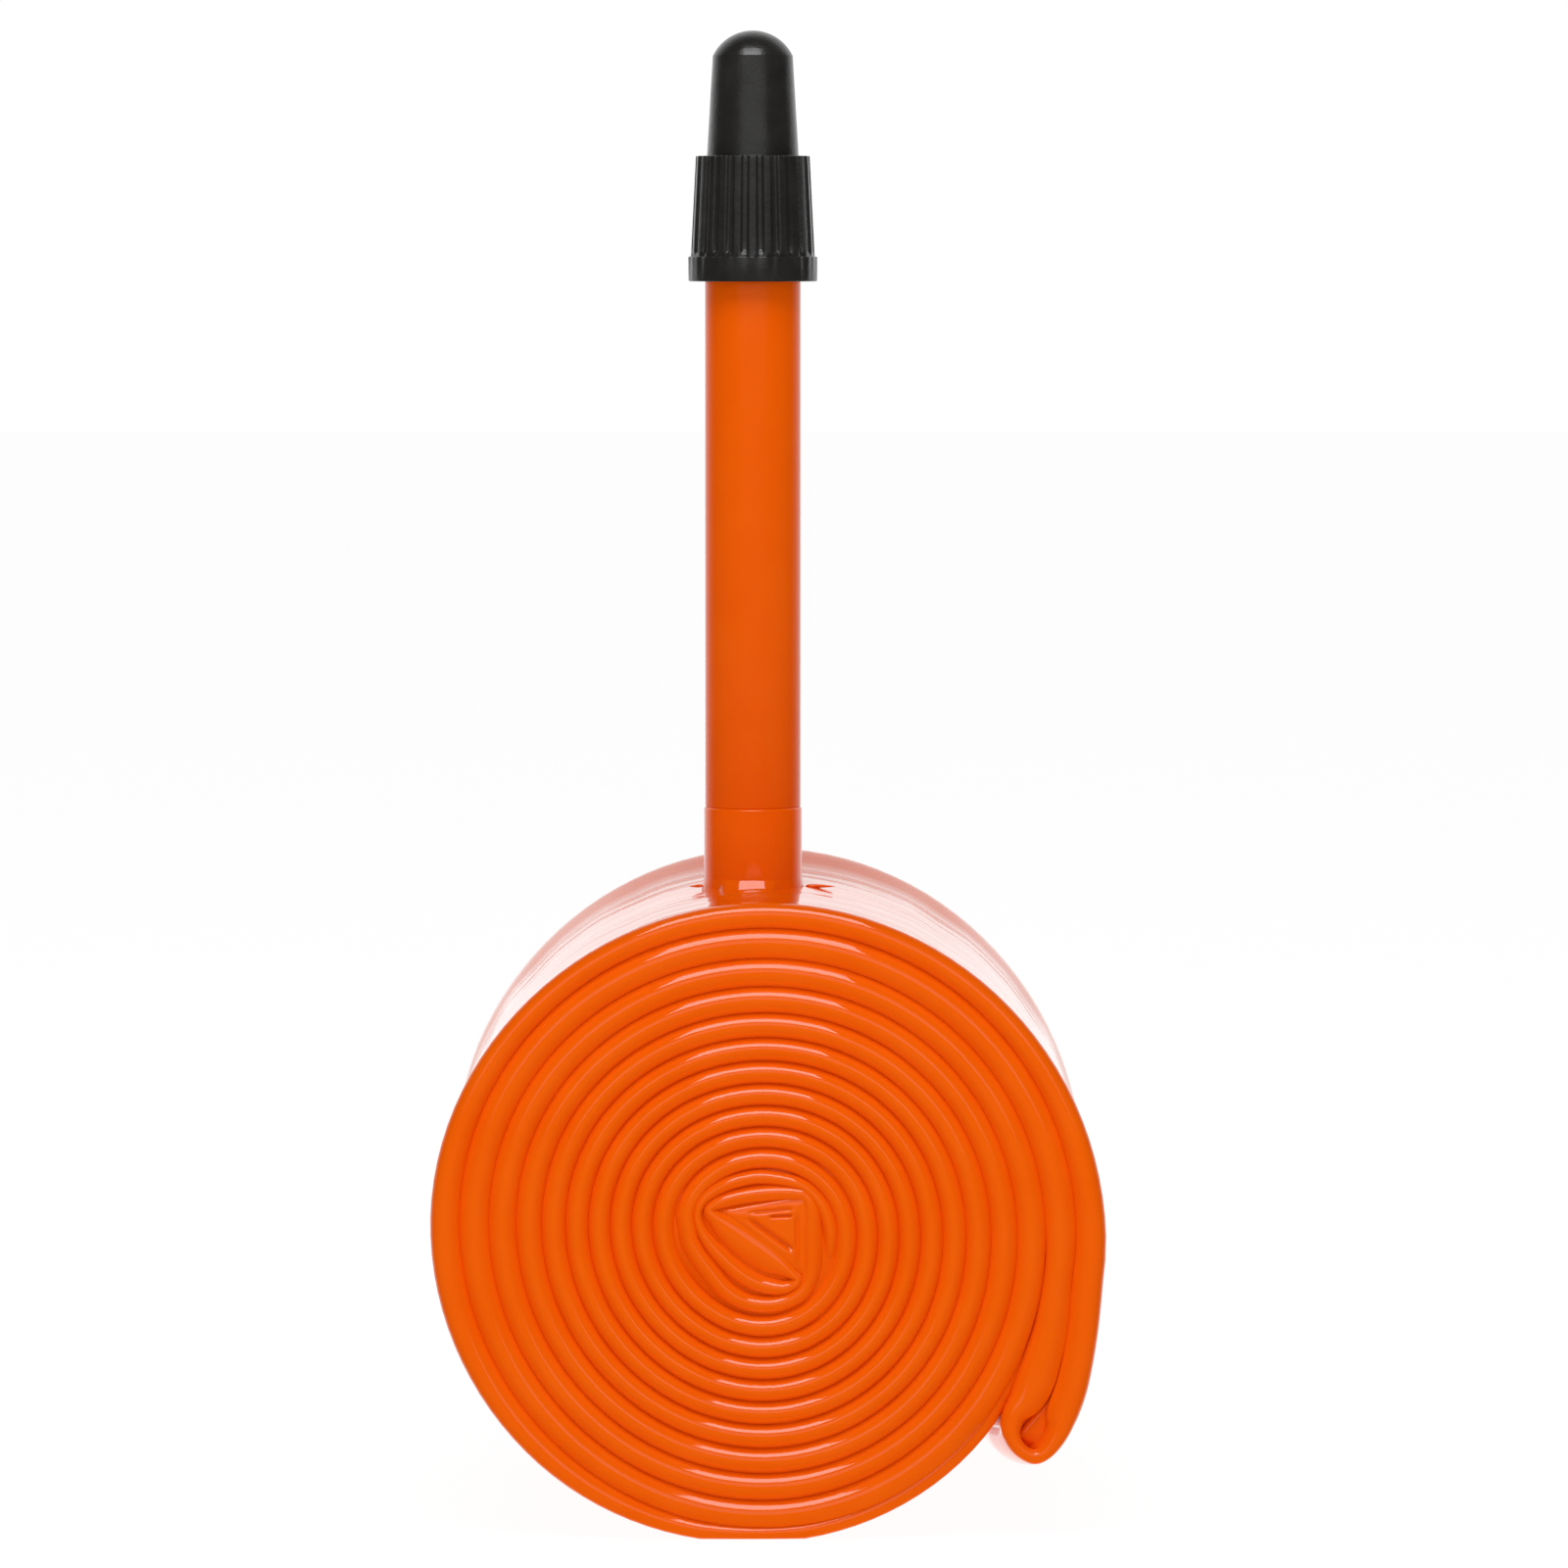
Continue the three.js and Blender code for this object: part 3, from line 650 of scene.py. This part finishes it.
def nose_profile(across, free):
    """Depth of a rounded end behind its tip, 0 at the tip and 1 where the faces begin: a
    parabola where its neighbours press it, and an ellipse where it is free."""
    return (1 - free) * across ** 2 + free * (1 - np.sqrt(1 - ELLIPSE * across ** 2)) / ELLIPSE_DEPTH


def build_hose(material):
    """Skin of the strand: round its front end, over one face, round its back end, and back."""
    rows, front_end, back_end, flat, skew, free = hose_path()
    count = rows.shape[1]
    centre, half = rows[:, :, :2], rows[:, :, 2]
    tangent = np.roll(centre, -1, axis=1) - np.roll(centre, 1, axis=1)
    tangent /= np.linalg.norm(tangent, axis=2)[:, :, None]
    normal = np.stack([tangent[:, :, 1], -tangent[:, :, 0]], axis=-1)
    pressed_depth = NOSE_DEPTH * (1 - 0.6 * flat)

    def depth(k, across):
        """Depth of an end on the outer or inner side."""
        side = free * (across > 0)
        pressed_half = np.minimum(half[k], WIDEST_NOSE)
        return pressed_half * pressed_depth * (1 - side) + half[k] * FREE_DEPTH * side

    reach_in = RIM_REACH * (1 - 0.5 * skew)
    columns = []

    def column(across, y, front_weight, back_weight):
        """One point for each sample of the path, at its place across the strand and along the roll."""
        weights = [front_weight, 1 - front_weight - back_weight, back_weight]
        place = sum(w[:, None] * (centre[k] + (across * half[k])[:, None] * normal[k])
                    for k, w in enumerate(weights))
        turn = np.radians(-FOLD_SKEW * (1 - np.exp(-(y + HALF_WIDTH) / SKEW_REACH)) * skew)
        offset = place - CENTRE
        x = offset[:, 0] * np.cos(turn) - offset[:, 1] * np.sin(turn)
        z = offset[:, 0] * np.sin(turn) + offset[:, 1] * np.cos(turn)
        z = np.maximum(z + CENTRE[1], 0)
        columns.append(np.stack([x + CENTRE[0], y, z], axis=-1))

    one, none = np.ones(count), np.zeros(count)

    def face(across, front_to_back):
        """The columns of one face, closest together near its ends."""
        front_face = front_end + depth(0, across)
        back_face = back_end - depth(2, across)
        reach = [(d, True) for d in FACE_REACH] + [(d, False) for d in FACE_REACH[::-1]]
        for distance, from_front in (reach if front_to_back else reach[::-1]):
            y = front_face + distance if from_front else back_face - distance
            front_weight = 1 - smooth((y - front_face) / reach_in)
            back_weight = 1 - smooth((back_face - y) / reach_in)
            column(np.full(count, float(across)), y, front_weight, back_weight)

    for across in NOSE_PLACES:
        y = front_end + depth(0, across) * nose_profile(across, free * (across > 0))
        column(np.full(count, across), y, one, none)
    face(1, True)
    for across in NOSE_PLACES[::-1]:
        y = back_end - depth(2, across) * nose_profile(across, free * (across > 0))
        column(np.full(count, across), y, none, one)
    face(-1, False)

    vertices = np.stack(columns, axis=1).reshape(-1, 3)
    faces = grid_faces(count, len(columns), close_rows=True)
    hose = add_piece("rolled_hose", vertices, faces, material, "tube", ["hose"])
    merge_poles(hose)


# Film that fills a three-sided gap between strands, creased in the core, in millimetres from the roll's
# centre: the gap's corners and middle; how far the film goes on under the strands, as a multiple
# of the gap; its depth behind the roll's face; and its creases, each as two ends, depth, width
CORE_TUCK = {
    "corners": [(-2.7, 1.6), (3.2, 2.7), (2.95, -2.9)], "middle": (1.15, 0.78), "skirt": 3.8,
    "front": 0.12, "back": 5, "creases": [
        ((0.45, 1.22), (2.0, 1.3), 0.28, 0.1), ((-1.0, 1.3), (2.2, -1.0), 0.34, 0.17),
        ((-0.9, 1.42), (2.1, 1.72), 0.2, 0.12), ((2.2, 1.6), (2.2, -2.2), 0.22, 0.14),
    ],
}
FOLD_TUCK = {
    "corners": [(17.9, -9.4), (17.3, -13.3), (15.35, -12.4)], "middle": (16.75, -11.75),
    "skirt": 1.12, "front": 1.0, "back": 2.5, "creases": [],
}


def crease_depth(creases, x, z):
    """Depth of the creases at a point, deepest along each line and fading towards its ends."""
    fading_share = 0.2
    total = np.zeros_like(x)
    for start, end, depth, width in creases:
        start, along = np.array(start), np.array(end) - np.array(start)
        length = np.linalg.norm(along)
        along = along / length
        t = ((x - start[0]) * along[0] + (z - start[1]) * along[1]) / length
        away = (x - start[0]) * along[1] - (z - start[1]) * along[0]
        along_line = smooth(t / fading_share) * smooth((1 - t) / fading_share)
        total += depth * along_line * np.exp(-(away / width) ** 2)
    return total


def tuck_reach(gap, angles):
    """Distance from the tuck's middle to its rounded three-sided outline."""
    squareness = 14
    corners = np.array(gap["corners"]) - gap["middle"]
    nearness = np.zeros_like(angles)
    for i in range(3):
        start, along = corners[i], corners[(i + 1) % 3] - corners[i]
        outward = np.array([along[1], -along[0]]) / np.linalg.norm(along)
        distance = float(start @ outward)
        if distance < 0:
            outward, distance = -outward, -distance
        cosine = np.cos(angles) * outward[0] + np.sin(angles) * outward[1]
        nearness += np.maximum(cosine / distance, 0) ** squareness
    return nearness ** (-1 / squareness)


def build_tuck(name, gap, material):
    """Pillow of film in a gap, whose edge goes on under the strands and closes behind."""
    around, rings = 144, 34
    dome_depth, skirt_slope = 0.45, 0.08
    angles = np.arange(around) * TWO_PI / around
    reach = tuck_reach(gap, angles)
    front, back = -HALF_WIDTH + gap["front"], -HALF_WIDTH + gap["back"]
    middle_x, middle_z = gap["middle"]
    shares = np.concatenate([np.linspace(0, 1, rings)[1:], [(1 + gap["skirt"]) / 2, gap["skirt"]]])
    vertices = [(CENTRE[0] + middle_x, front, CENTRE[1] + middle_z)]
    for share in shares:
        x = middle_x + share * reach * np.cos(angles)
        z = middle_z + share * reach * np.sin(angles)
        dome = dome_depth * (1 - np.sqrt(1 - 0.985 * min(share, 1) ** 4))
        dome = dome + skirt_slope * max(share - 1, 0)
        y = front + dome + crease_depth(gap["creases"], x, z)
        vertices += list(np.stack([CENTRE[0] + x, y, CENTRE[1] + z], axis=-1))
    vertices += [(x, back, z) for x, y, z in vertices[-around:]]
    vertices.append((CENTRE[0] + middle_x, back, CENTRE[1] + middle_z))
    last = len(vertices) - 1
    faces = [(0, 1 + (j + 1) % around, 1 + j) for j in range(around)]
    faces += [tuple(1 + v for v in face) for face in grid_faces(len(shares) + 1, around)]
    start = last - around
    faces += [(last, start + j, start + (j + 1) % around) for j in range(around)]
    tuck = add_piece(name, vertices, faces, material, "tube")
    merge_poles(tuck)


# ---- Valve ----------------------------------------------------------------------------------

def build_foot(material):
    """Flange inside the hose, and the collar that comes out of it, drawn out a little in front
    where it meets the film."""
    top, bottom = BASE_HIGH[2], BASE_LOW[2]
    surface = HOSE_HIGH[2] - FOOT_SAG
    bore, socket, stem, collar, flange, fillet = 2.6, 2.62, 3.0, 3.075, 5.9, 0.62
    draw_all_round, draw_in_front = 0.1, 0.34
    front_angle, front_half, front_fade = 0.09, 0.42, 0.25
    profile = rounded([
        (bore, bottom), (flange, bottom + 0.05), (flange, bottom + 0.45), (4.2, bottom + 0.55),
        (3.3, surface - 0.3, 0.1), (collar, surface - 0.02), (collar, surface + fillet / 3),
        (collar, surface + fillet * 2 / 3), (collar, surface + fillet), (collar, surface + 1.2),
        (collar, top - 0.11, 0.02), (stem, top - 0.02, 0.02), (socket, top - 0.02),
        (socket, bottom + 0.6), (bore, bottom),
    ], 0.06)

    def draw_out(radius, height, angle):
        from_front = np.abs((angle + math.pi / 2 + front_angle + math.pi) % TWO_PI - math.pi)
        in_front = 1 - smooth((from_front - front_half) / front_fade)
        low = np.clip((surface + fillet - height) / fillet, 0, 1) * (height > surface - 0.1)
        return radius + low * (draw_all_round + draw_in_front * in_front) * (radius > stem)

    piece = turned_piece("valve_foot", profile, 144, material, "tube",
                         ["valve_base"], draw_out)
    sharpen(piece, 40)


def build_pucker(name, x, length, height, material):
    """Small pinched fold of film beside the valve's foot, thickest at its inner end."""
    steps, ring = 14, 10
    behind, spread, drift = 0.6, 1.6, 0.25
    lift, droop = 0.02, 0.08
    rise = HOSE_HIGH[2] - FOOT_SAG
    vertices = []
    for i in range(steps + 1):
        t = i / steps
        size = height * math.sin(math.pi * t ** 0.6) ** 0.8 if 0 < t < 1 else 0
        along = x + length * t
        for k in range(ring):
            angle = TWO_PI * k / ring
            vertices.append((along, behind + spread * size * math.cos(angle) + drift * t,
                             rise + lift - droop * t + size * math.sin(angle)))
    piece = add_piece(name, vertices, grid_faces(steps + 1, ring), material, "tube")
    merge_poles(piece)


def build_stem(material):
    """Smooth pipe, whose narrower lower end sits in the collar."""
    top, low = STEM_HIGH[2], STEM_LOW[2]
    collar_top = BASE_HIGH[2]
    spigot_bore, bore, spigot, pipe = 1.8, 2.3, 2.5, 3.0
    profile = rounded([
        (spigot_bore, low), (spigot, low), (spigot, collar_top - 0.3), (pipe, collar_top + 0.02),
        (pipe, top, 0.15), (bore, top, 0.1), (bore, collar_top + 2), (spigot_bore, collar_top + 1),
        (spigot_bore, low),
    ], 0.05)
    piece = turned_piece("valve_pipe", profile, 96, material, "tube", ["valve_stem"])
    sharpen(piece, 40)


def build_cap(material):
    """Domed cone on a ribbed skirt that ends in a plain ring with a little moulding flash."""
    bottom, top = CAP_LOW[2], CAP_HIGH[2]
    ring_top = bottom + 1.55
    skirt_top = CORE_HIGH[2] + 0.05
    crown, cone, skirt_end, skirt_foot, ring = 2.77, 2.87, 3.56, 3.86, 4.04
    pin_bore, nut_bore, thread_bore, skirt_bore = 1.3, 2.3, 2.75, 3.2
    dome_start, dome_steps = 0.44, 14
    rib_count, samples_per_rib, rib_band = 24, 16, 3.4
    rib_depth, uneven_depth = 0.2, 0.06
    flash_height, flash_inset = 0.22, 0.03
    fine_step = 0.35
    dome = [(crown * math.cos(a), top - crown + crown * math.sin(a))
            for a in np.linspace(dome_start, math.pi / 2, dome_steps)]
    outline = rounded([
        (3.3, bottom), (ring, bottom, 0.12), (ring, ring_top, 0.2), (3.88, ring_top + 0.02, 0.02),
        (skirt_foot, ring_top + 0.3), (skirt_end, skirt_top - 0.02, 0.08), (cone, skirt_top), *dome,
    ], 0.04)
    outline[-1][0] = 0
    hollow = [(0, PIN_HIGH[2] + 0.5), (pin_bore, PIN_HIGH[2] + 0.5), (pin_bore, NUT_HIGH[2] + 0.5),
              (nut_bore, NUT_HIGH[2] + 0.2), (nut_bore, CORE_HIGH[2] + 0.2),
              (thread_bore, CORE_HIGH[2] + 0.2), (thread_bore, STEM_HIGH[2] + 0.9),
              (skirt_bore, STEM_HIGH[2] + 0.9), (skirt_bore, bottom)]
    profile = np.vstack([hollow, outline])
    fine = [profile[0]]
    for a, b in zip(profile[:-1], profile[1:]):
        long_stretch = ring_top < (a[1] + b[1]) / 2 < skirt_top and a[0] > rib_band
        pieces = max(1, int(abs(b[1] - a[1]) / fine_step)) if long_stretch else 1
        fine += [a + (b - a) * (i + 1) / pieces for i in range(pieces)]

    def ribs(radius, height, angle):
        phase = angle / TWO_PI * rib_count
        wave = np.abs(phase - np.round(phase)) * 2
        uneven = 0.5 + 0.5 * np.sin(3 * angle + 1) * np.cos(5 * angle)
        groove = smooth((wave - 0.36 - 0.14 * uneven) / 0.34)
        rise = smooth((height - ring_top - 0.1) / 0.35) * (height < skirt_top + 0.01)
        flash = 0.05 * np.sin(9 * angle) * np.sin(14 * angle + 2) + 0.03 * np.sin(31 * angle)
        near_ring = np.exp(-((height - ring_top) / flash_height) ** 2)
        depth = (rib_depth + uneven_depth * uneven) * groove * rise * (radius > rib_band)
        edge = np.where(radius > 3.7, flash * near_ring - flash_inset * near_ring, 0)
        return radius - depth + edge

    piece = turned_piece("valve_dust_cap", fine, rib_count * samples_per_rib, material, "cap",
                         ["valve_cap"], ribs)
    sharpen(piece, 50)


def build_core(material):
    """Core body: collared brass tube with the cap's thread on its head and two flats."""
    low, high = CORE_LOW[2], CORE_HIGH[2]
    shoulder, shoulder_top = STEM_HIGH[2] + 0.1, STEM_HIGH[2] + 0.7
    bore, barrel, flange, crest, root = 1.25, 2.1, 2.8, 2.6, 2.27
    pitch, thread_start, thread_end = 1.06, shoulder_top + 0.5, high - 0.35
    groove_top, groove_low, groove = shoulder - 5, shoulder - 6.7, 1.7
    half_flats, tooth_slope, tooth_root = 2.2, 1.6, 0.3
    threads = [(crest, z) for z in np.arange(thread_start, thread_end, pitch / 10)]
    profile = [
        (bore, low), (barrel - 0.3, low), (barrel, low + 1), (barrel, groove_low),
        (groove, groove_low), (groove, groove_top), (barrel, groove_top), (barrel, shoulder),
        (flange - 0.06, shoulder), (flange, shoulder + 0.06), (flange, shoulder_top - 0.1),
        (flange - 0.1, shoulder_top), (root, shoulder_top), (root, thread_start - 0.05), *threads,
        (root, thread_end + 0.05), (root, high - 0.12), (root - 0.12, high), (bore + 0.15, high),
        (bore, high - 0.15), (bore, low),
    ]

    def cut(radius, height, angle):
        turn = (height - thread_start) / pitch - angle / TWO_PI
        tooth = 1 - np.abs(turn - np.round(turn)) * 2
        threaded = (radius > root + 0.01) & (height >= thread_start - 0.01) & (height < high)
        height_of_tooth = np.clip(tooth_slope * tooth - tooth_root, 0, 1)
        radius = np.where(threaded, root + (crest - root) * height_of_tooth, radius)
        flat = half_flats / np.maximum(np.abs(np.cos(angle)), 0.2)
        return np.where((height > shoulder_top) & (radius > 2), np.minimum(radius, flat), radius)

    piece = turned_piece("core_barrel", profile, 96, material, "core", ["core_body"], cut)
    sharpen(piece, 35)


def build_pin(material):
    """Pin with a rounded head, a thread for the nut and a foot below the seal."""
    low, high = PIN_LOW[2], PIN_HIGH[2]
    nut_low, nut_high = NUT_LOW[2], NUT_HIGH[2]
    rod, head, foot = 0.78, 1.0, 1.4
    groove_depth, half_pitch, tip_radius = 0.08, 0.15, 0.4
    grooves = [(rod - groove_depth * (i % 2), z)
               for i, z in enumerate(np.arange(nut_high + 0.05, high - 1.25, half_pitch))]
    tip = [(head - tip_radius + tip_radius * math.cos(a), high - tip_radius + tip_radius * math.sin(a))
           for a in np.linspace(0, math.pi / 2, 6)]
    profile = [(0, low), (foot - 0.1, low), (foot, low + 0.1), (foot, low + 0.6), (foot - 0.1, low + 0.7),
               (rod, low + 0.7), (rod, nut_low), (rod, nut_high), *grooves, (head, high - 1.0), *tip,
               (0, high)]
    piece = turned_piece("core_pin", profile, 48, material, "pin", ["valve_pin"])
    sharpen(piece, 40)


def build_nut(material):
    """Round nut with a coarse knurl, bevelled at both ends."""
    low, high, inner, outer, bevel = NUT_LOW[2], NUT_HIGH[2], 0.9, NUT_HIGH[0], 0.25
    knurls, samples_per_knurl, knurl_depth = 12, 12, 0.2
    profile = [(inner, low + 0.1), (inner + 0.1, low), (outer - bevel, low),
               *((outer, z) for z in np.linspace(low + bevel, high - bevel, 5)),
               (outer - bevel, high), (inner + 0.1, high), (inner, high - 0.1), (inner, low + 0.1)]

    def knurl(radius, height, angle):
        phase = angle / TWO_PI * knurls
        groove = smooth((np.abs(phase - np.round(phase)) * 2 - 0.55) / 0.3)
        return radius - knurl_depth * groove * (radius > outer - bevel / 2)

    piece = turned_piece("core_nut", profile, knurls * samples_per_knurl, material, "nut",
                         ["lock_nut"], knurl)
    sharpen(piece, 35)


# ---- Everything -----------------------------------------------------------------------------

add_camera()
add_world()
add_floor()
add_area("softbox", (-0.02, -0.32, 0.58), (0, 0, 0.03), (0.45, 0.3), 2.4)
add_area("front_fill", (0, -1.1, 0.35), (0, 0, 0.04), (1.2, 0.9), 1.6, glossy=False)
bpy.context.scene.view_settings.view_transform = "Standard"

film = film_material()
orange = stem_material()
black = cap_material()
brass = brass_material()
rubber = rubber_material()
for name in ("core_gasket", "pin_seal"):
    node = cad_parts[name]
    node.data.materials.clear()
    node.data.materials.append(rubber)

build_hose(film)
build_tuck("hose_core_tuck", CORE_TUCK, film)
build_tuck("hose_fold_tuck", FOLD_TUCK, film)
build_foot(film)
build_pucker("foot_pucker_left", -3.1, -0.95, 0.1, film)
build_pucker("foot_pucker_right", 3.3, 1.9, 0.12, film)
build_stem(orange)
build_cap(black)
build_core(brass)
build_pin(brass)
build_nut(brass)
